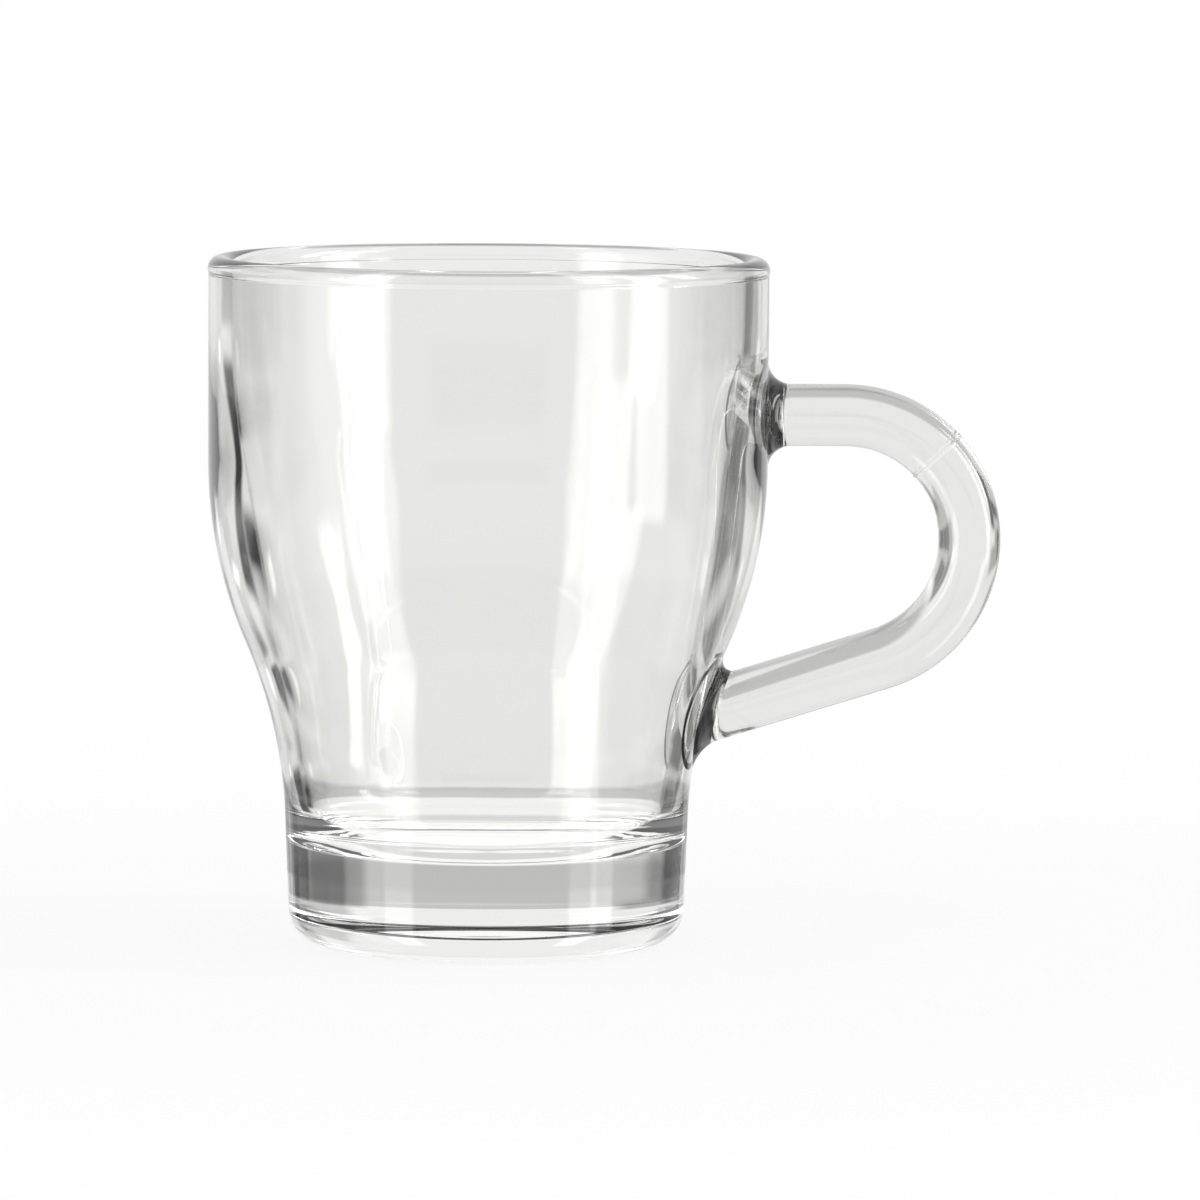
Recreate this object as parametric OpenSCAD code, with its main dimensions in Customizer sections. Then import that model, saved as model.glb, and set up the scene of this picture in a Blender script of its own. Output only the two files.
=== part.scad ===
// Small handled coffee glass in two pieces of clear glass. The bowl is pressed in one
// with its heavy solid foot. The handle is a round rod, bent to a D while soft, whose
// ends spread into pads that are fused to the side of the bowl.
// The bowl stands on z = 0 with its axis on Z, and the handle points along +X.

/* [Overall] */
// Outer diameter of the straight upper part of the bowl
rim_d = 72; // [66:0.5:80]
// Height from the resting plane to the top of the lip
height = 88.3; // [86:0.1:96]

/* [Outer side] */
// Height at which the straight part starts to curve inwards
outer_curve_z = 62; // [60:0.5:63]
// Radius of the outward curve under the straight part
outer_shoulder_r = 59; // [52:0.5:66]
// Lean of the side where the outward curve turns into the waist's inward curve
outer_lean = 23.4; // [21:0.1:24.5]
// Radius of the waist's inward curve
outer_waist_r = 63; // [56:0.5:68]
// Draft of the foot, which is a little wider at its top
foot_draft = 2.2; // [1:0.1:4]
// Radius of the rounded lower edge of the foot
foot_edge_r = 4; // [2:0.1:5]

/* [Inner side] */
// Thickness of the wall under the lip
wall_t = 3; // [2.4:0.1:3.8]
// Height at which the inner side starts to taper
inner_curve_z = 81; // [78:0.5:82]
// Radius of the inner side's long outward curve
inner_shoulder_r = 150; // [140:1:170]
// Lean of the inner side at its steepest
inner_lean = 17.4; // [16:0.1:18.5]
// Radius of the inner side's inward curve above the floor
inner_waist_r = 56; // [48:0.5:62]
// Draft of the inner side where it meets the floor's corner
inner_draft = 7; // [5:0.1:9]
// Thickness of the solid glass under the floor
floor_t = 12.2; // [10:0.1:14]
// Radius of the hollow curve between the inner side and the floor
floor_corner_r = 6.5; // [4:0.1:8]

/* [Lip and underside] */
// How far the fire-polished bead of the lip stands out from each face of the wall
lip_bead = 0.1; // [0.05:0.01:0.25]
// Depth of the shallow dish in the underside
dish_depth = 0.7; // [0.4:0.05:1.2]
// Width of the flat ring round the dish that the glass stands on
ring_w = 2.4; // [1.5:0.1:4]

/* [Handle] */
// Diameter of the rod
rod_d = 8; // [7:0.1:8.8]
// Drop from the top of the lip to the axis of the upper arm
arm_drop = 20.2; // [18:0.1:22]
// Distance from the side of the bowl to the centre of the bend
bend_reach = 10; // [8:0.1:14]
// Radius of the bend, on the rod's axis
bend_r = 16.1; // [15:0.1:17]
// Slope of the lower arm, which rises from the bowl to the bend
lower_slope = 17.2; // [14:0.1:19]
// Radius of the hollow curve where each arm spreads into its pad
root_r = 3; // [2.1:0.1:3.5]
// Height of the fine seam that rings the rod on the bend
seam_h = 0.1; // [0.06:0.01:0.2]
// Width of the seam along the rod
seam_w = 0.4; // [0.3:0.05:0.6]
// Place of the seam, as a turn round the bend from the upper arm
seam_turn = 47; // [35:1:70]

/* [Hidden] */
$fn = 96;

rim_r = rim_d / 2;
lip_r = wall_t / 2 + lip_bead;
lip_z = height - lip_r;
rod_r = rod_d / 2;
glass_colour = [0.89, 0.90, 0.90, 0.35];
handle_colour = [0.87, 0.88, 0.87, 0.45];

// Extra length by which a cutting or clipping shape runs past what it cuts
overrun = wall_t;

// One side of the bowl is a straight part, an outward curve, an inward curve and a drafted
// part, each tangent to the next. A side lists: radius of the straight part, height where it
// ends, outward radius, lean, inward radius, draft.
outer_side = [rim_r, outer_curve_z, outer_shoulder_r, outer_lean, outer_waist_r, foot_draft];
inner_side = [rim_r - wall_t, inner_curve_z, inner_shoulder_r, inner_lean, inner_waist_r,
    inner_draft];

// Points of a side, as [radius, height]: where the lean is steepest, the centre of the inward
// curve, and where the drafted part begins
function lean_point(s) = [s[0] - s[2] * (1 - cos(s[3])), s[1] - s[2] * sin(s[3])];
function waist_centre(s) = lean_point(s) + s[4] * [cos(s[3]), -sin(s[3])];
function draft_point(s) = waist_centre(s) + s[4] * [-cos(s[5]), sin(s[5])];

// Radius of a side on its drafted part, and on the whole side, at height z
function drafted_r(s, z) = draft_point(s)[0] + (z - draft_point(s)[1]) * tan(s[5]);
function side_r(s, z) =
    z >= s[1] ? s[0]
    : z >= lean_point(s)[1] ? s[0] - s[2] + sqrt(s[2] ^ 2 - (s[1] - z) ^ 2)
    : z >= draft_point(s)[1] ? waist_centre(s)[0] - sqrt(s[4] ^ 2 - (z - waist_centre(s)[1]) ^ 2)
    : drafted_r(s, z);

// Lean of the outer side from upright at height z
function outer_lean_at(z) =
    z >= outer_curve_z ? 0
    : z >= lean_point(outer_side)[1] ? asin((outer_curve_z - z) / outer_shoulder_r)
    : z >= draft_point(outer_side)[1] ? asin((z - waist_centre(outer_side)[1]) / outer_waist_r)
    : foot_draft;

// Centre of a corner of radius r between a drafted side and a flat at height z above it,
// and the point where the corner touches the side
function corner_centre(s, r, z) = [drafted_r(s, z + r) - r / cos(s[5]), z + r];
function corner_touch(s, r, z) = corner_centre(s, r, z) + r * [cos(s[5]), -sin(s[5])];

// Half profile inside one side, with a rounded corner at its flat bottom
module side_profile(s, bottom_z, corner_r, top_z) {
    lean = lean_point(s);
    waist = waist_centre(s);
    draft = draft_point(s);
    corner = corner_centre(s, corner_r, bottom_z);
    touch = corner_touch(s, corner_r, bottom_z);
    polygon([[0, s[1]], [s[0], s[1]], [s[0], top_z], [0, top_z]]);
    intersection() {
        translate([s[0] - s[2], s[1]]) circle(s[2], $fn = 360);
        polygon([[0, lean[1]], [s[0] + overrun, lean[1]], [s[0] + overrun, s[1]], [0, s[1]]]);
    }
    difference() {
        polygon([[0, draft[1]], [waist[0], draft[1]], [waist[0], lean[1]], [0, lean[1]]]);
        translate(waist) circle(s[4], $fn = 360);
    }
    polygon([[0, bottom_z], [corner[0], bottom_z], corner, touch, draft, [0, draft[1]]]);
    intersection() {
        translate(corner) circle(corner_r);
        polygon([corner, [corner[0], bottom_z - overrun], [touch[0] + overrun, bottom_z - overrun],
            corner + (1 + overrun / corner_r) * (touch - corner)]);
    }
}

// The bowl without its hollow, which is also the shape that the handle's pads lie against
module bowl_blank() {
    rotate_extrude() side_profile(outer_side, 0, foot_edge_r, lip_z);
}

module bowl_hollow() {
    rotate_extrude() side_profile(inner_side, floor_t, floor_corner_r, lip_z + overrun);
}

// Rounded lip, a torus whose bead stands out from both faces of the wall
module lip() {
    rotate_extrude() translate([rim_r - wall_t / 2, lip_z]) circle(lip_r);
}

// Shallow dish under the foot, cut by a large ball that meets the resting ring at its inner edge
module underside_dish() {
    dish_r = corner_centre(outer_side, foot_edge_r, 0)[0] - ring_w;
    ball_r = (dish_r ^ 2 + dish_depth ^ 2) / (2 * dish_depth);
    rotate_extrude() intersection() {
        translate([0, dish_depth - ball_r]) circle(ball_r, $fn = 360);
        polygon([[0, -dish_depth], [rim_r, -dish_depth], [rim_r, dish_depth + overrun],
            [0, dish_depth + overrun]]);
    }
}

module bowl() {
    color(glass_colour) {
        difference() {
            bowl_blank();
            bowl_hollow();
            underside_dish();
        }
        lip();
    }
}

// Places along the rod's axis
arm_z = height - arm_drop;
bend_x = rim_r + bend_reach;
bend_z = arm_z - bend_r;
bend_turn = 180 - lower_slope;
lower_start = [bend_x + bend_r * sin(bend_turn), bend_z + bend_r * cos(bend_turn)];

// Height of the lower arm's axis at a distance x from the bowl's axis, and the height at which
// that axis meets the side of the bowl, found by stepping to and fro between the two
function lower_arm_z(x) = lower_start[1] - (lower_start[0] - x) * tan(lower_slope);
function meeting_z(z, steps) =
    steps == 0 ? z : meeting_z(lower_arm_z(side_r(outer_side, z)), steps - 1);
root_z = meeting_z(bend_z - bend_r, 12);
root_x = side_r(outer_side, root_z);
lower_length = (lower_start[0] - root_x) / cos(lower_slope);

// Angle between the lower arm and the square-on direction out of the bowl's side
root_skew = lower_slope + outer_lean_at(root_z);

// Share of the root's radius by which its hollow curve bites into the rod and into the bowl,
// so that the surfaces cross instead of just touching
bite_share = 0.05;

// The hollow curve through which an arm spreads into its pad, round +Z, with a skirt inside the
// bowl. It rises by skew against local X, so that it follows a side that leans from the arm.
module root_flare(skew) {
    bite = root_r * bite_share;
    pad_r = rod_r + root_r - bite;
    multmatrix([[1, 0, 0], [0, 1, 0], [-tan(skew), 0, 1]])
        rotate_extrude() difference() {
            polygon([[0, -rod_r], [pad_r, -rod_r], [pad_r, root_r], [0, root_r]]);
            translate([pad_r, root_r - bite]) circle(root_r);
        }
}

// One end of the handle, in the plane y = 0 round the bend's centre: a stretch of the bend that
// ends inside the seam, and from its top an arm that runs along -X to the bowl and on into it
module handle_end(turn, length, skew) {
    rotate([-90, -90, 0]) {
        rotate_extrude(angle = turn - atan(seam_w / 4 / bend_r))
            translate([bend_r, 0]) circle(rod_r);
        translate([bend_r, 0, 0]) rotate([90, 0, 0]) cylinder(h = length + rod_r, r = rod_r);
        translate([bend_r, -length, 0]) rotate([-90, 0, 0]) root_flare(skew);
    }
}

// The fine seam, a disc across the rod that stands out a little and joins the two ends
module seam() {
    rotate([0, seam_turn, 0]) translate([-seam_w / 2, 0, bend_r]) rotate([0, 90, 0])
        cylinder(h = seam_w, r = rod_r + seam_h);
}

module handle() {
    color(handle_colour) difference() {
        translate([bend_x, 0, bend_z]) {
            handle_end(seam_turn, bend_reach, 0);
            seam();
            rotate([0, bend_turn, 0]) mirror([1, 0, 0])
                handle_end(bend_turn - seam_turn, lower_length, root_skew);
        }
        bowl_blank();
    }
}

bowl();
handle();
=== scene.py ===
import math

import bmesh
import bpy
from mathutils import Matrix, Vector


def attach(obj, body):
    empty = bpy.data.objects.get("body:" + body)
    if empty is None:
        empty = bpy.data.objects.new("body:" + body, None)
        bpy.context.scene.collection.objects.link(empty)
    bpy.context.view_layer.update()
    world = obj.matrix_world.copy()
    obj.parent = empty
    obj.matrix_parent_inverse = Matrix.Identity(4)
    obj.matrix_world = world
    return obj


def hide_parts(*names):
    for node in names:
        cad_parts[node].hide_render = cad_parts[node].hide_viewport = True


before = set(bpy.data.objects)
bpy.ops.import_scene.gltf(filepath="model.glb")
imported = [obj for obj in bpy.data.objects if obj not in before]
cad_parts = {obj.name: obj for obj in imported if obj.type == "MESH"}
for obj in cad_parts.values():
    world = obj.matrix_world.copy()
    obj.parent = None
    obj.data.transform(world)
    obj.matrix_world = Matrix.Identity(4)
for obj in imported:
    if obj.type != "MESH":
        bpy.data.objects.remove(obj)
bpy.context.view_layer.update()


# CAMERA. It stands where the photograph was taken from, almost a metre off and a little above
# the lip, with a long lens, and aims beside the bowl so that the handle is in the frame too.
MM = 0.001
camera_back = 934 * MM
camera_height = 136.3 * MM
camera_pitch = math.radians(5.64)
camera_yaw = math.radians(0.8896)
camera_roll = math.radians(0.35)
lens_mm = 218.34
film_mm = 36
far_limit = 20

bpy.ops.object.camera_add(location=(0, -camera_back, camera_height))
camera = bpy.context.object
camera.name = "photo_camera"
camera.data.lens = lens_mm
camera.data.sensor_width = film_mm
camera.data.clip_end = far_limit
aim = Matrix.Rotation(-camera_yaw, 4, "Z") @ Matrix.Rotation(math.pi / 2 - camera_pitch, 4, "X")
camera.matrix_world = (Matrix.Translation(camera.location) @ aim
                       @ Matrix.Rotation(camera_roll, 4, "Z"))
bpy.context.scene.camera = camera


# BOWL. One gob of clear soda glass, pressed in a mould: a straight upper part, a shoulder and
# a waist, and a heavy solid foot with a shallow dish beneath. A flame has melted the lip round.
rim_r = 36 * MM
height = 88.3 * MM
wall_t = 3 * MM
lip_bead = 0.1 * MM
lip_r = wall_t / 2 + lip_bead
lip_z = height - lip_r
floor_z = 12.2 * MM
floor_corner_r = 6.5 * MM
foot_edge_r = 4 * MM
dish_depth = 0.7 * MM
ring_w = 2.4 * MM

# How finely the profile is drawn
bowl_turns = 256
side_step = 0.8 * MM
corner_steps = 16
lip_steps = 32
floor_steps = 16
dish_steps = 20
ring_steps = 3
bowl_weld = 0.005 * MM

# A side is a straight part, an outward curve, an inward curve and a drafted part
outer_side = dict(r=rim_r, z=62 * MM, shoulder=59 * MM, lean=math.radians(23.4),
                  waist=63 * MM, draft=math.radians(2.2))
inner_side = dict(r=rim_r - wall_t, z=81 * MM, shoulder=150 * MM, lean=math.radians(17.4),
                  waist=56 * MM, draft=math.radians(7))


def side_marks(s):
    """The steepest point of a side, the centre of its waist, and where its draft begins."""
    steep = Vector((s["r"] - s["shoulder"] * (1 - math.cos(s["lean"])),
                    s["z"] - s["shoulder"] * math.sin(s["lean"])))
    centre = steep + s["waist"] * Vector((math.cos(s["lean"]), -math.sin(s["lean"])))
    draft = centre + s["waist"] * Vector((-math.cos(s["draft"]), math.sin(s["draft"])))
    return steep, centre, draft


def side_r(s, z):
    """Radius of a side at a height."""
    steep, centre, draft = side_marks(s)
    if z >= s["z"]:
        return s["r"]
    if z >= steep.y:
        return s["r"] - s["shoulder"] + math.sqrt(s["shoulder"] ** 2 - (s["z"] - z) ** 2)
    if z >= draft.y:
        return centre.x - math.sqrt(s["waist"] ** 2 - (z - centre.y) ** 2)
    return draft.x + (z - draft.y) * math.tan(s["draft"])


def side_points(s, low, high):
    """Points up a side between two heights, as (radius, height), without the lowest one."""
    count = max(2, round((high - low) / side_step))
    heights = [low + (high - low) * k / count for k in range(1, count + 1)]
    return [(side_r(s, z), z) for z in heights]


def arc_points(centre, radius, start, end, steps):
    """Points of an arc in the profile, as (radius, height), without the first one."""
    turns = [start + (end - start) * k / steps for k in range(1, steps + 1)]
    return [(centre[0] + radius * math.cos(t), centre[1] + radius * math.sin(t)) for t in turns]


def corner(s, radius, bottom):
    """Centre of the rounded corner at the bottom of a side, and the height where it ends."""
    z = bottom + radius
    centre = (side_r(s, z) - radius / math.cos(s["draft"]), z)
    return centre, z - radius * math.sin(s["draft"])


foot_corner, foot_side_z = corner(outer_side, foot_edge_r, 0)
floor_corner, floor_side_z = corner(inner_side, floor_corner_r, floor_z)
dish_r = foot_corner[0] - ring_w
dish_ball = (dish_r ** 2 + dish_depth ** 2) / (2 * dish_depth)
lip_half = math.acos((wall_t / 2) / lip_r)

# The profile runs from the middle of the dish out and up to the lip, and down the inner side
# to the middle of the floor
profile = [(0, dish_depth)]
for k in range(1, dish_steps):
    r = dish_r * k / dish_steps
    profile.append((r, dish_depth - dish_ball + math.sqrt(dish_ball ** 2 - r ** 2)))
profile += [(dish_r + ring_w * k / ring_steps, 0) for k in range(ring_steps)]
profile += [(foot_corner[0], 0)]
profile += arc_points(foot_corner, foot_edge_r, -math.pi / 2, -outer_side["draft"], corner_steps)
profile += side_points(outer_side, foot_side_z, lip_z - lip_r / 2)
profile += [(rim_r, lip_z - lip_r / 4)]
profile += arc_points((rim_r - wall_t / 2, lip_z), lip_r, -lip_half, math.pi + lip_half, lip_steps)
profile += [(rim_r - wall_t, lip_z - lip_r / 2)]
profile += reversed(side_points(inner_side, floor_side_z, lip_z - lip_r))
profile += [(side_r(inner_side, floor_side_z), floor_side_z)]
profile += arc_points(floor_corner, floor_corner_r, -inner_side["draft"], -math.pi / 2,
                      corner_steps)
profile += [(floor_corner[0] * (1 - k / floor_steps), floor_z) for k in range(1, floor_steps + 1)]


def start_piece():
    """Leaves edit mode with nothing selected, so that a new primitive stands alone."""
    if bpy.context.object and bpy.context.object.mode == "EDIT":
        bpy.ops.object.mode_set(mode="OBJECT")
    bpy.ops.object.select_all(action="DESELECT")


# It is drawn as one line of vertices and spun round the axis
start_piece()
bpy.ops.mesh.primitive_circle_add(vertices=3, radius=rim_r)
bowl = bpy.context.object
bowl.name = bowl.data.name = "bowl_glass"
bpy.ops.object.mode_set(mode="EDIT")
bpy.ops.mesh.select_all(action="SELECT")
bpy.ops.mesh.merge(type="CENTER")
bpy.ops.transform.translate(value=(0, 0, profile[0][1]))
for (r0, z0), (r1, z1) in zip(profile, profile[1:]):
    bpy.ops.mesh.extrude_region_move(TRANSFORM_OT_translate={"value": (r1 - r0, 0, z1 - z0)})
bpy.ops.mesh.select_all(action="SELECT")
bpy.ops.mesh.spin(steps=bowl_turns, angle=2 * math.pi, center=(0, 0, 0), axis=(0, 0, 1))
bpy.ops.mesh.select_all(action="SELECT")
bpy.ops.mesh.remove_doubles(threshold=bowl_weld)
bpy.ops.mesh.normals_make_consistent(inside=False)
bpy.ops.object.mode_set(mode="OBJECT")


def put(tree, socket, value):
    """Links an output to a socket, or sets the socket to a constant."""
    if isinstance(value, bpy.types.NodeSocket):
        tree.links.new(value, socket)
    else:
        socket.default_value = value


def eased(tree, value, start, end, low=0, high=1):
    """A smooth change from low to high while a value runs from start to end."""
    node = tree.nodes.new("ShaderNodeMapRange")
    node.interpolation_type = "SMOOTHSTEP"
    settings = {"Value": value, "From Min": start, "From Max": end, "To Min": low, "To Max": high}
    for name, setting in settings.items():
        put(tree, node.inputs[name], setting)
    return node.outputs["Result"]


def object_place(tree):
    """The place in the object's own coordinates."""
    return tree.nodes.new("ShaderNodeTexCoord").outputs["Object"]


# The glass chilled against the mould and the plunger, which left it faintly rippled
ripple = bpy.data.node_groups.new("glass_ripple", "ShaderNodeTree")
for name in ("Across", "Drawn Out"):
    ripple.interface.new_socket(name, in_out="INPUT", socket_type="NodeSocketFloat")
ripple.interface.new_socket("Height", in_out="OUTPUT", socket_type="NodeSocketFloat")
ripple_in = ripple.nodes.new("NodeGroupInput")
ripple_out = ripple.nodes.new("NodeGroupOutput")
scales = ripple.nodes.new("ShaderNodeCombineXYZ")
put(ripple, scales.inputs["X"], 1)
put(ripple, scales.inputs["Y"], 1)
put(ripple, scales.inputs["Z"], ripple_in.outputs["Drawn Out"])
drawn = ripple.nodes.new("ShaderNodeVectorMath")
drawn.operation = "MULTIPLY"
put(ripple, drawn.inputs[0], object_place(ripple))
put(ripple, drawn.inputs[1], scales.outputs["Vector"])
waves = ripple.nodes.new("ShaderNodeTexNoise")
put(ripple, waves.inputs["Vector"], drawn.outputs["Vector"])
put(ripple, waves.inputs["Scale"], ripple_in.outputs["Across"])
put(ripple, waves.inputs["Detail"], 1)
put(ripple, waves.inputs["Roughness"], 0.25)
put(ripple, waves.inputs["Distortion"], 0.6)
put(ripple, ripple_out.inputs["Height"], waves.outputs["Fac"])


def clear_glass(name, tint, roughness=0, ior=1.52, depth=0, across=90, drawn_out=0.4, glow=0):
    """Clear glass with a faint tint. The ripple has a depth, a count across and, where it is
    drawn out up the piece, a smaller count up it. Returns the material and its shader."""
    mat = bpy.data.materials.new(name)
    mat.use_nodes = True
    tree = mat.node_tree
    shader = tree.nodes["Principled BSDF"]
    put(tree, shader.inputs["Base Color"], (*tint, 1))
    put(tree, shader.inputs["Roughness"], roughness)
    put(tree, shader.inputs["IOR"], ior)
    put(tree, shader.inputs["Transmission Weight"], 1)
    put(tree, shader.inputs["Emission Color"], (1, 1, 1, 1))
    put(tree, shader.inputs["Emission Strength"], glow)
    if depth:
        group = tree.nodes.new("ShaderNodeGroup")
        group.node_tree = ripple
        put(tree, group.inputs["Across"], across)
        put(tree, group.inputs["Drawn Out"], drawn_out)
        bump = tree.nodes.new("ShaderNodeBump")
        put(tree, bump.inputs["Distance"], depth)
        put(tree, bump.inputs["Height"], group.outputs["Height"])
        put(tree, shader.inputs["Normal"], bump.outputs["Normal"])
    return mat, shader


# Inside the bowl the plunger left a deeper ripple. The rounded corner over the foot also has a
# faint painted glow, because real thick glass looks white there and the rendered glass stays grey.
bowl_tint = (0.94, 0.943, 0.928)
soda_glass, _ = clear_glass("soda_glass", bowl_tint, depth=0.02 * MM)
plunger_glass_painted_glow, painted_glow_shader = clear_glass("plunger_glass_painted_glow", bowl_tint, depth=0.12 * MM,
                                            glow=0.13)
glow_top = floor_z + 1.1 * floor_corner_r
glow_full = floor_z + 0.4 * floor_corner_r
painted_glow_tree = plunger_glass_painted_glow.node_tree
painted_glow_place = painted_glow_tree.nodes.new("ShaderNodeSeparateXYZ")
put(painted_glow_tree, painted_glow_place.inputs["Vector"], object_place(painted_glow_tree))
put(painted_glow_tree, painted_glow_shader.inputs["Emission Color"],
    eased(painted_glow_tree, painted_glow_place.outputs["Z"], glow_top, glow_full))

# The dark line and the glass over the pads are for the joints with the handle, further down.
# The dark line is painted shade: a near-black ring where each pad meets the wall. Both pieces
# have the dark line in the same slot.
joint_painted_dark_line, _ = clear_glass("joint_painted_dark_line", (0.02, 0.02, 0.02), ior=1.0)
# The glass over the pads has a faint painted glow, which stands in for the light that the rod
# carries into them.
pad_glass_painted_glow, _ = clear_glass("pad_glass_painted_glow", bowl_tint, glow=0.12)
for mat in (soda_glass, joint_painted_dark_line, plunger_glass_painted_glow, pad_glass_painted_glow):
    bowl.data.materials.append(mat)
painted_line_slot, plunger_glow_slot, pad_glow_slot = 1, 2, 3

# The plunger formed the faces over the floor and inside the wall, up to the middle of the lip.
# Their glass also carries the painted glow over the foot.
inner_slack = 0.3 * MM
floor_slack = 0.01 * MM
for face in bowl.data.polygons:
    at = face.center
    if (floor_z - floor_slack < at.z < lip_z
            and math.hypot(at.x, at.y) < side_r(inner_side, at.z) + inner_slack):
        face.material_index = plunger_glow_slot

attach(bowl, "root")
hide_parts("bowl")


# HANDLE. A round rod of clear glass, bent to a D while soft, with a fine seam round it on the
# bend. Its hot ends are pressed on to the bowl, where they spread into oval pads and fuse.
rod_r = 4 * MM
arm_z = height - 20.2 * MM
bend_x = rim_r + 10 * MM
bend_r = 16.1 * MM
bend_z = arm_z - bend_r
lower_slope = math.radians(17.2)
bend_turn = math.pi - lower_slope
seam_turn = math.radians(47)
seam_h = 0.1 * MM
seam_w = 0.4 * MM
seam_rise = seam_h / 2
root_r = 3 * MM
root_bite = 0.01 * root_r
pad_gap = 0.04 * MM

# How finely the rod, its arms, its roots and its pads are drawn
rod_sides = 96
before_seam, round_seam, after_seam = 40, 16, 64
arm_rings = 12
root_steps = 18
clear_root_steps = 4
pad_rings = 16
edge_rings = 2
rod_weld = 0.01 * MM

# A ring is spun round the bend in three stretches. The middle one is fine, and is three times
# as long as the seam that it carries.
start_piece()
bpy.ops.mesh.primitive_circle_add(vertices=rod_sides, radius=rod_r,
                                  location=(bend_x, 0, arm_z), rotation=(0, math.pi / 2, 0))
handle = bpy.context.object
handle.name = handle.data.name = "handle_glass"
bpy.ops.object.transform_apply(location=True, rotation=True, scale=True)
bpy.ops.object.mode_set(mode="EDIT")
bpy.ops.mesh.select_all(action="SELECT")
fine_half = seam_w * 1.5 / bend_r
for steps, angle in ((before_seam, seam_turn - fine_half), (round_seam, 2 * fine_half),
                     (after_seam, bend_turn - seam_turn - fine_half)):
    bpy.ops.mesh.spin(steps=steps, angle=angle, center=(bend_x, 0, bend_z), axis=(0, -1, 0))
bpy.ops.object.mode_set(mode="OBJECT")


def turn_of(point):
    """Turn round the bend from the upper arm to a point."""
    return math.atan2(point.x - bend_x, point.z - bend_z)


def bend_point(turn):
    """Place on the rod's axis at a turn round the bend."""
    return Vector((bend_x + bend_r * math.sin(turn), 0, bend_z + bend_r * math.cos(turn)))


# The seam stands a little proud of the rod
for v in handle.data.vertices:
    turn = turn_of(v.co)
    axis_point = bend_point(turn)
    off = (turn - seam_turn) * bend_r / (seam_w / 2)
    away = v.co - axis_point
    v.co = axis_point + away * (1 + seam_rise / rod_r * math.exp(-off ** 2))


def wall_hit(point, way, tries=12, close_enough=1e-9):
    """Where a line from a point meets the outside of the bowl."""
    p = point.copy()
    for _ in range(tries):
        gap = math.hypot(p.x, p.y) - side_r(outer_side, p.z)
        if abs(gap) < close_enough:
            break
        next_gap = math.hypot(p.x + way.x * MM, p.y) - side_r(outer_side, p.z + way.z * MM)
        p = p - way * (gap / ((next_gap - gap) / MM))
    return p


def root_spread(h):
    """Radius of an end of the handle at a height above the wall."""
    if h >= root_r - root_bite:
        return rod_r
    return rod_r + root_r - math.sqrt(root_r ** 2 - (root_r - root_bite - h) ** 2)


def round_arm(start, way, radius):
    """A ring of points round the start of an arm, in the order of the rod's own vertices."""
    up = Vector((way.z, 0, -way.x))
    turns = [2 * math.pi * k / rod_sides for k in range(rod_sides)]
    return [start + radius * (math.cos(a) * Vector((0, 1, 0)) + math.sin(a) * up) for a in turns]


def over_wall(start, way, radius, h):
    """A ring of points carried along an arm to a height over the bowl's wall."""
    return [wall_hit(p, way) - way * h for p in round_arm(start, way, radius)]


def pad_points(start, way, gap):
    """Rings of a pad within its edge, and its middle point. Only the rings near the edge lie
    on the wall. The rest stand off it by a gap."""
    rings = [over_wall(start, way, root_spread(0) * (1 - k / pad_rings),
                       gap if k > edge_rings else 0) for k in range(1, pad_rings)]
    return rings, wall_hit(start, way) - way * gap


def join_rings(bm, rings, slots):
    """Bands of faces between neighbouring rings of vertices, each with its material slot."""
    for a, b, slot in zip(rings, rings[1:], slots):
        for k in range(rod_sides):
            j = (k + 1) % rod_sides
            bm.faces.new((a[k], a[j], b[j], b[k])).material_index = slot


def close_ring(bm, ring, middle, slot):
    """Faces from a ring of vertices to a vertex in its middle."""
    for k in range(rod_sides):
        bm.faces.new((ring[k], ring[(k + 1) % rod_sides], middle)).material_index = slot


# Each end runs on to the wall as rings: a straight arm, the hollow root and the pad. Every
# vertex has to lie by the bowl's curved side, so the rings are placed point by point.
rod_slot, root_painted_slot, seam_slot = 0, 2, 3
end_slots = ([rod_slot] * (arm_rings + clear_root_steps)
             + [root_painted_slot] * (root_steps - clear_root_steps)
             + [painted_line_slot] * edge_rings + [rod_slot] * (pad_rings - 1 - edge_rings))
arm_ends = ((Vector((bend_x, 0, arm_z)), Vector((-1, 0, 0))),
            (bend_point(bend_turn), Vector((-math.cos(lower_slope), 0, -math.sin(lower_slope)))))
root_top = root_r - root_bite
bm = bmesh.new()
bm.from_mesh(handle.data)
for start, way in arm_ends:
    nearest = min((wall_hit(p, way) - p).length for p in round_arm(start, way, rod_r))
    straight = nearest - root_top
    rings = [[p + way * (straight * k / arm_rings) for p in round_arm(start, way, rod_r)]
             for k in range(arm_rings)]
    for k in range(root_steps + 1):
        h = root_top * (1 - math.sin(math.pi / 2 * k / root_steps))
        rings.append(over_wall(start, way, root_spread(h), h))
    pad, middle = pad_points(start, way, pad_gap)
    loops = [[bm.verts.new(p) for p in ring] for ring in rings + pad]
    join_rings(bm, loops, end_slots)
    close_ring(bm, loops[-1], bm.verts.new(middle), rod_slot)
bmesh.ops.remove_doubles(bm, verts=bm.verts, dist=rod_weld)
bmesh.ops.recalc_face_normals(bm, faces=bm.faces)
for face in bm.faces:
    face.smooth = True
    at = face.calc_center_median()
    if at.x > bend_x and abs(turn_of(at) - seam_turn) * bend_r < seam_w / 2:
        face.material_index = seam_slot
for edge in bm.edges:
    if len({face.material_index for face in edge.link_faces}) > 1:
        edge.smooth = False
bm.to_mesh(handle.data)
bm.free()

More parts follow.
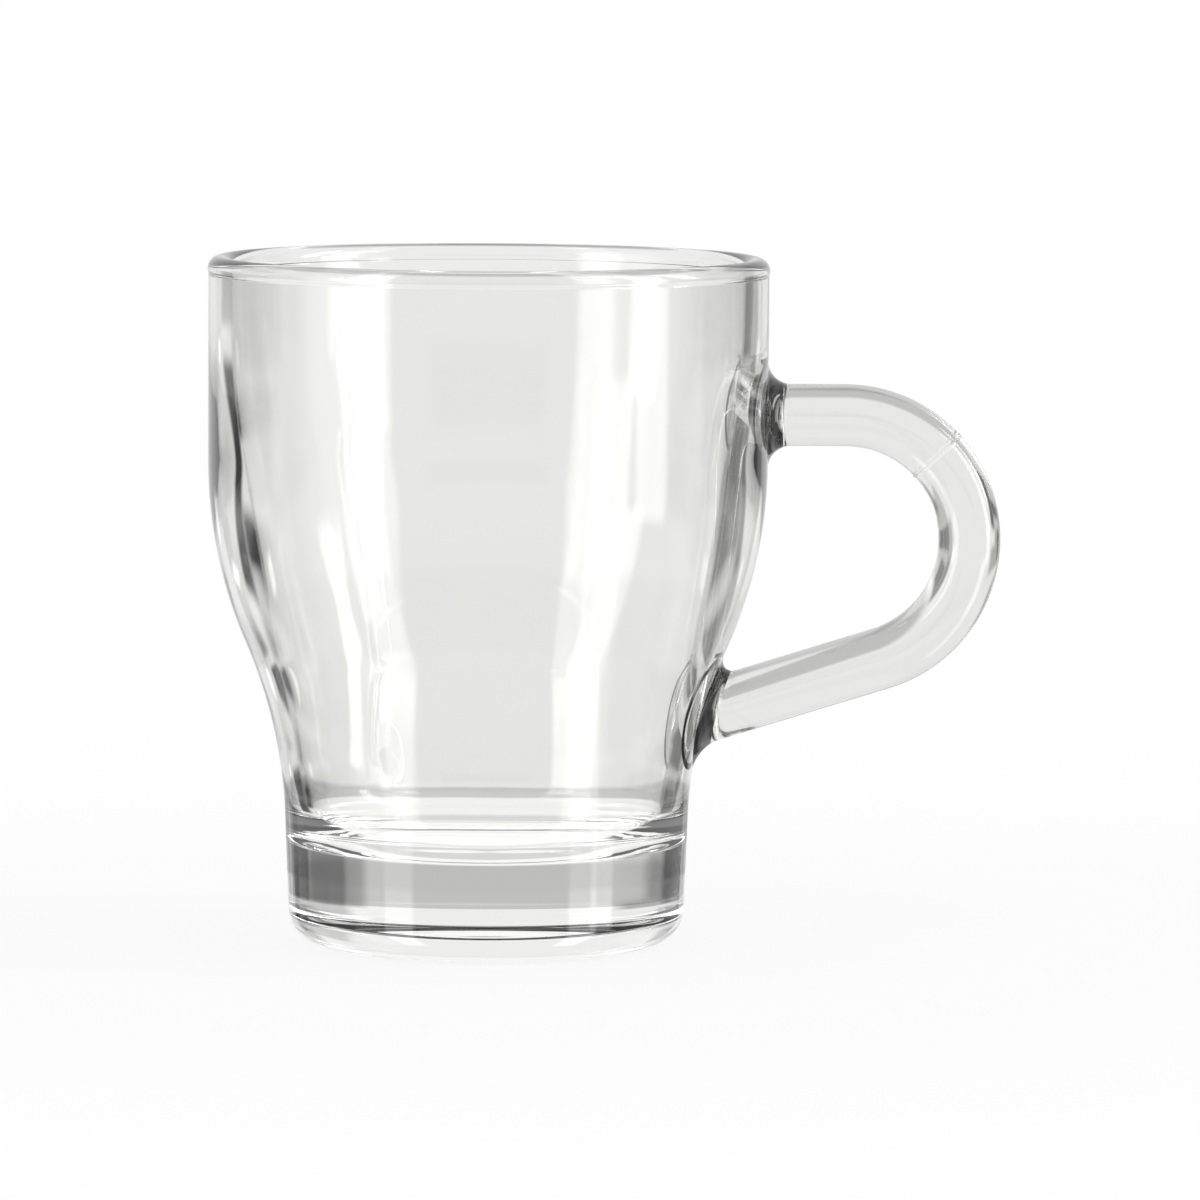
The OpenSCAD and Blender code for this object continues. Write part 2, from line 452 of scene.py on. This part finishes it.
# The rod was drawn by hand, so it is a little duller than the bowl and rippled the same way in
# every direction. The seam is duller still.
rod_tint = (0.89, 0.89, 0.872)
rod_glass, _ = clear_glass("rod_glass", rod_tint, roughness=0.08, depth=0.02 * MM, across=140,
                           drawn_out=1)
seam_glass, _ = clear_glass("seam_glass", (1, 1, 1), roughness=0.25)


def maths(tree, operation, a, b=0, clamp=False):
    """A sum of two values, or a function of one, kept from 0 to 1 where it is clamped."""
    node = tree.nodes.new("ShaderNodeMath")
    node.operation = operation
    node.use_clamp = clamp
    put(tree, node.inputs[0], a)
    put(tree, node.inputs[1], b)
    return node.outputs["Value"]


# The hollow curves of the roots are painted near-black where they are seen at a slant from
# outside. This painted shade stands in for the dark that the real glass shows there.
root_painted_dark = (0.0006, 0.0006, 0.0006)
slant_start, slant_full = 0.02, 0.2
root_glass_painted_dark, root_shader = clear_glass("root_glass_painted_dark", rod_tint)
root_tree = root_glass_painted_dark.node_tree
slant = root_tree.nodes.new("ShaderNodeLayerWeight").outputs["Facing"]
from_inside = root_tree.nodes.new("ShaderNodeNewGeometry").outputs["Backfacing"]
painted_dark_share = maths(root_tree, "SUBTRACT", eased(root_tree, slant, slant_start, slant_full),
                   from_inside, clamp=True)
root_painted_shade_mix = root_tree.nodes.new("ShaderNodeMix")
root_painted_shade_mix.data_type = "RGBA"
put(root_tree, root_painted_shade_mix.inputs["A"], (*rod_tint, 1))
put(root_tree, root_painted_shade_mix.inputs["B"], (*root_painted_dark, 1))
put(root_tree, root_painted_shade_mix.inputs["Factor"], painted_dark_share)
put(root_tree, root_shader.inputs["Base Color"], root_painted_shade_mix.outputs["Result"])
for mat in (rod_glass, joint_painted_dark_line, root_glass_painted_dark, seam_glass):
    handle.data.materials.append(mat)

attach(handle, "root")
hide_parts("handle")


# JOINTS. The hot pads fuse with the cold wall, and their ovals show through it. Each pad's
# outline is cut into the bowl's wall, so that the wall and the handle share its edge.
pad_growth = 1.06
wall_slack = 0.3 * MM
# A pad's rings start with the painted dark line and go on in the glass with the painted glow.
pad_painted_slots = [painted_line_slot] * edge_rings + [pad_glow_slot] * (pad_rings - 1 - edge_rings)


def within(point, outline):
    """True if a point of the outer wall lies within an outline, given as (y, z)."""
    if point.x < 0 or abs(math.hypot(point.x, point.y) - side_r(outer_side, point.z)) > wall_slack:
        return False
    hit = False
    for (y0, z0), (y1, z1) in zip(outline, outline[1:] + outline[:1]):
        if ((z0 > point.z) != (z1 > point.z)
                and point.y < y0 + (point.z - z0) * (y1 - y0) / (z1 - z0)):
            hit = not hit
    return hit


bm = bmesh.new()
bm.from_mesh(bowl.data)
for start, way in arm_ends:
    pad_edge = over_wall(start, way, root_spread(0), 0)
    pad, middle = pad_points(start, way, 0)
    outline = [(middle.y + (p.y - middle.y) * pad_growth, middle.z + (p.z - middle.z) * pad_growth)
               for p in pad_edge]
    reach = max((p - middle).length for p in pad_edge) * pad_growth
    covered = {v for v in bm.verts if (v.co - middle).length < reach and within(v.co, outline)}
    gone = [face for face in bm.faces if any(v in covered for v in face.verts)]
    bmesh.ops.delete(bm, geom=gone, context="FACES")
    hole = [edge for edge in bm.edges if len(edge.link_faces) == 1]
    loops = [[bm.verts.new(p) for p in ring] for ring in [pad_edge] + pad]
    border = [bm.edges.new((loops[0][k], loops[0][(k + 1) % rod_sides])) for k in range(rod_sides)]
    bmesh.ops.triangle_fill(bm, edges=hole + border, use_beauty=True, use_dissolve=False)
    join_rings(bm, loops, pad_painted_slots)
    close_ring(bm, loops[-1], bm.verts.new(middle), pad_glow_slot)
loose = [v for v in bm.verts if not v.link_faces]
bmesh.ops.delete(bm, geom=loose, context="VERTS")
bmesh.ops.recalc_face_normals(bm, faces=bm.faces)
for face in bm.faces:
    face.smooth = True
bm.to_mesh(bowl.data)
bm.free()


# FLOOR. A sweep of white paper, which the glass stands on. It is white to the camera, with the
# glass's soft shadow near the middle.
floor_r = 450 * MM
floor_sides = 96
floor_drop = 0.02 * MM
start_piece()
bpy.ops.mesh.primitive_circle_add(vertices=floor_sides, radius=floor_r, fill_type="NGON",
                                  location=(0, 0, -floor_drop))
bpy.ops.object.transform_apply(location=True)
floor = bpy.context.object
floor.name = "floor"


def mixed(tree, share, a, b):
    """A mix of two shaders."""
    node = tree.nodes.new("ShaderNodeMixShader")
    for socket, value in zip(node.inputs, (share, a, b)):
        put(tree, socket, value)
    return node.outputs["Shader"]


floor_paper = bpy.data.materials.new("floor_paper")
floor_paper.use_nodes = True
floor.data.materials.append(floor_paper)
paper_tree = floor_paper.node_tree
paper_tree.nodes.remove(paper_tree.nodes["Principled BSDF"])
ray = paper_tree.nodes.new("ShaderNodeLightPath").outputs
distance = paper_tree.nodes.new("ShaderNodeVectorMath")
distance.operation = "LENGTH"
put(paper_tree, distance.inputs[0], object_place(paper_tree))
far = distance.outputs["Value"]

# To the camera it is mostly an even white, and less so near the glass. There the white gives
# way in part to lit paper, which shows the glass's real shadow, and the fade is also a faint
# painted shade round the glass.
shadow_r, white_r, white_near = 40 * MM, 300 * MM, 0.85
shaded = paper_tree.nodes.new("ShaderNodeBsdfDiffuse")
put(paper_tree, shaded.inputs["Color"], (0.8, 0.8, 0.8, 1))
even = paper_tree.nodes.new("ShaderNodeEmission")
put(paper_tree, even.inputs["Color"], (1, 1, 1, 1))
even_share = maths(paper_tree, "MULTIPLY", ray["Is Camera Ray"],
                   eased(paper_tree, far, shadow_r, white_r, white_near, 1))
paper = mixed(paper_tree, even_share, shaded.outputs["BSDF"], even.outputs["Emission"])

# Seen through the glass or mirrored in it, the floor lets the studio's light through. It dims
# that light in a ring round the foot, a painted shadow, and not right under the glass.
ring_inside_r, ring_full_r = 65 * MM, 80 * MM
ring_fades_r, ring_outside_r = 120 * MM, 150 * MM
painted_shadow_level = 0.62
painted_shadow_ring = eased(paper_tree, far, ring_fades_r, ring_outside_r, painted_shadow_level, 1)
lit = eased(paper_tree, far, ring_inside_r, ring_full_r, 1, 0)
clear = paper_tree.nodes.new("ShaderNodeBsdfTransparent")
put(paper_tree, clear.inputs["Color"], maths(paper_tree, "MAXIMUM", painted_shadow_ring, lit))
by_glass = maths(paper_tree, "MAXIMUM", ray["Is Glossy Ray"], ray["Is Transmission Ray"])
put(paper_tree, paper_tree.nodes["Material Output"].inputs["Surface"],
    mixed(paper_tree, by_glass, paper, clear.outputs["BSDF"]))


# STUDIO. An even, pale light from all round, with dark screens and bright strips that only the
# glass shows. The camera itself sees plain white.
studio = bpy.data.worlds.new("studio")
bpy.context.scene.world = studio
studio.use_nodes = True
sky = studio.node_tree
sky_way = sky.nodes.new("ShaderNodeSeparateXYZ")
put(sky, sky_way.inputs["Vector"], sky.nodes.new("ShaderNodeTexCoord").outputs["Generated"])

# Azimuth is 0 behind the glass, 90 to its left and 180 at the camera
azimuth = maths(sky, "ARCTAN2", maths(sky, "MULTIPLY", sky_way.outputs["X"], -1),
                sky_way.outputs["Y"])
either = maths(sky, "ABSOLUTE", azimuth)
elevation = maths(sky, "ARCSINE", sky_way.outputs["Z"])


def between(value, low, high, soft):
    """Mask of the angles between two, in degrees, with soft edges."""
    rise, fall = [eased(sky, value, math.radians(limit - soft), math.radians(limit + soft))
                  for limit in (low, high)]
    return maths(sky, "MULTIPLY", rise, maths(sky, "SUBTRACT", 1, fall))


def card(turn, left, right, bottom, top, soft, soft_up):
    """Mask of a card between two azimuths and two elevations."""
    return maths(sky, "MULTIPLY", between(turn, left, right, soft),
                 between(elevation, bottom, top, soft_up))


# Screens take a share of the light away and strips add to it. Each row is the azimuth on one
# side or on either, its two limits, the elevation's two limits, the softness of the edges
# across and up, and the share or the added light.
screens = (
    (azimuth, 32, 41, -23, -8.5, 2, 1.5, 0.93),
    (azimuth, 41, 76, -17.5, -12, 2, 1.5, 0.93),
    (azimuth, 41, 76, -12, -8.5, 2, 1, 0.3),
    (azimuth, 31, 76, -4, 3, 4, 1.5, 0.55),
    (azimuth, 42, 76, -8.5, -4, 4, 1.5, 0.6),
    (azimuth, 52, 80, -9, 1.5, 3, 1.5, 0.85),
    (azimuth, -52, -33, -22, -12, 2, 1.5, 0.73),
    (azimuth, -52, -33, -12, -8.5, 2, 1, 0.3),
    (azimuth, -52, -33, -8.5, 0.5, 2, 1.5, 0.73),
    (azimuth, -33, -27, -22, -9, 2, 1.5, 0.7),
    (azimuth, -33, -27, -9, 0.5, 2, 1.5, 0.45),
    (azimuth, -82, -52, -9, 0.5, 2, 1.5, 0.87),
    (azimuth, -80, -33, 0.5, 14, 3, 1.5, 0.35),
    (azimuth, -70, -52, -22, -9, 3, 1.5, 0.3),
    (either, 50, 66, 8, 26, 4, 4, 0.5),
    (either, -10, 60, -120, -46, 10, 5, 0.35),
    (either, 152, 200, 0, 6, 3, 1.5, 0.9),
)
strips = (
    (azimuth, 22.5, 27, -9, -6.2, 1, 0.6, 0.6),
    (azimuth, -26, -22.5, -9, -6.2, 1, 0.6, 0.3),
    (either, 36, 90, -42, -25, 5, 2, 0.35),
    (azimuth, 98, 119, -50, 34, 5, 5, 0.9),
    (azimuth, 119, 137, -50, 34, 2, 5, 3.1),
    (azimuth, -117, -102, -13, 40, 2, 2, 3.6),
    (azimuth, -131, -113, -50, -11, 2, 2, 3.6),
    (azimuth, -93, -84, 8, 45, 2, 4, 7),
)
light = 0.9
for *place, share in screens:
    taken = maths(sky, "MULTIPLY", card(*place), share)
    light = maths(sky, "MULTIPLY", light, maths(sky, "SUBTRACT", 1, taken))
for *place, added in strips:
    light = maths(sky, "ADD", light, maths(sky, "MULTIPLY", card(*place), added))
seen = sky.nodes.new("ShaderNodeLightPath").outputs["Is Camera Ray"]
light = maths(sky, "ADD", maths(sky, "MULTIPLY", light, maths(sky, "SUBTRACT", 1, seen)), seen)
put(sky, sky.nodes["Background"].inputs["Color"], (1, 1, 1, 1))
put(sky, sky.nodes["Background"].inputs["Strength"], light)

bpy.context.scene.view_settings.view_transform = "Standard"
